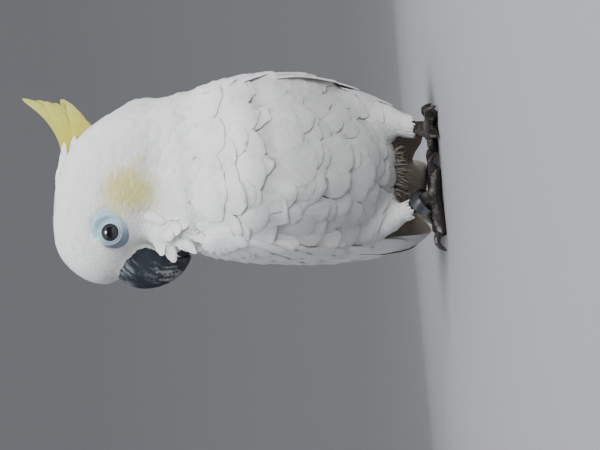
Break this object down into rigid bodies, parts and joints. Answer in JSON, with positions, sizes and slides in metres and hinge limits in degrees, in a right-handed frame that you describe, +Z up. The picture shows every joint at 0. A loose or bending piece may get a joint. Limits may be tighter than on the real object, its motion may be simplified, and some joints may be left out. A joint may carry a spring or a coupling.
{
  "type": "sulphur-crested cockatoo",
  "caption": "Life-size still model of a white cockatoo standing with its head turned to its right, yellow crest raised and wings folded.",
  "frame": {"origin": "middle of the whole model's footprint, on the floor", "axes": "+Z up; the body faces -Y with the tail towards +Y; the bird's right side, to which its head is turned, is -X"},
  "size_m": [0.1284, 0.3198, 0.262],
  "materials": {
    "white_plumage": "soft matt feather",
    "wing_plumage": "smooth matt feather",
    "tail_plumage": "smooth matt feather, stained below",
    "crest_plumes": "soft matt feather",
    "bill_horn": "dark horn dusted with feather powder",
    "eye": "wet",
    "foot_skin": "scaly skin",
    "claw_horn": "semi-gloss horn",
    "ring_steel": "worn"
  },
  "bodies": {
    "root": {"head": "white_plumage", "neck": "white_plumage", "trunk": "white_plumage", "thigh_left": "white_plumage", "thigh_right": "white_plumage", "wing_left": "wing_plumage", "wing_right": "wing_plumage", "tail": "tail_plumage", "crest": "crest_plumes", "beak_upper": "bill_horn", "beak_lower": "bill_horn", "eye_left": "eye", "eye_right": "eye", "foot_left": "foot_skin", "foot_right": "foot_skin", "claw_left_1": "claw_horn", "claw_left_2": "claw_horn", "claw_left_3": "claw_horn", "claw_left_4": "claw_horn", "claw_right_1": "claw_horn", "claw_right_2": "claw_horn", "claw_right_3": "claw_horn", "claw_right_4": "claw_horn", "leg_ring": "ring_steel"}
  },
  "joints": []
}
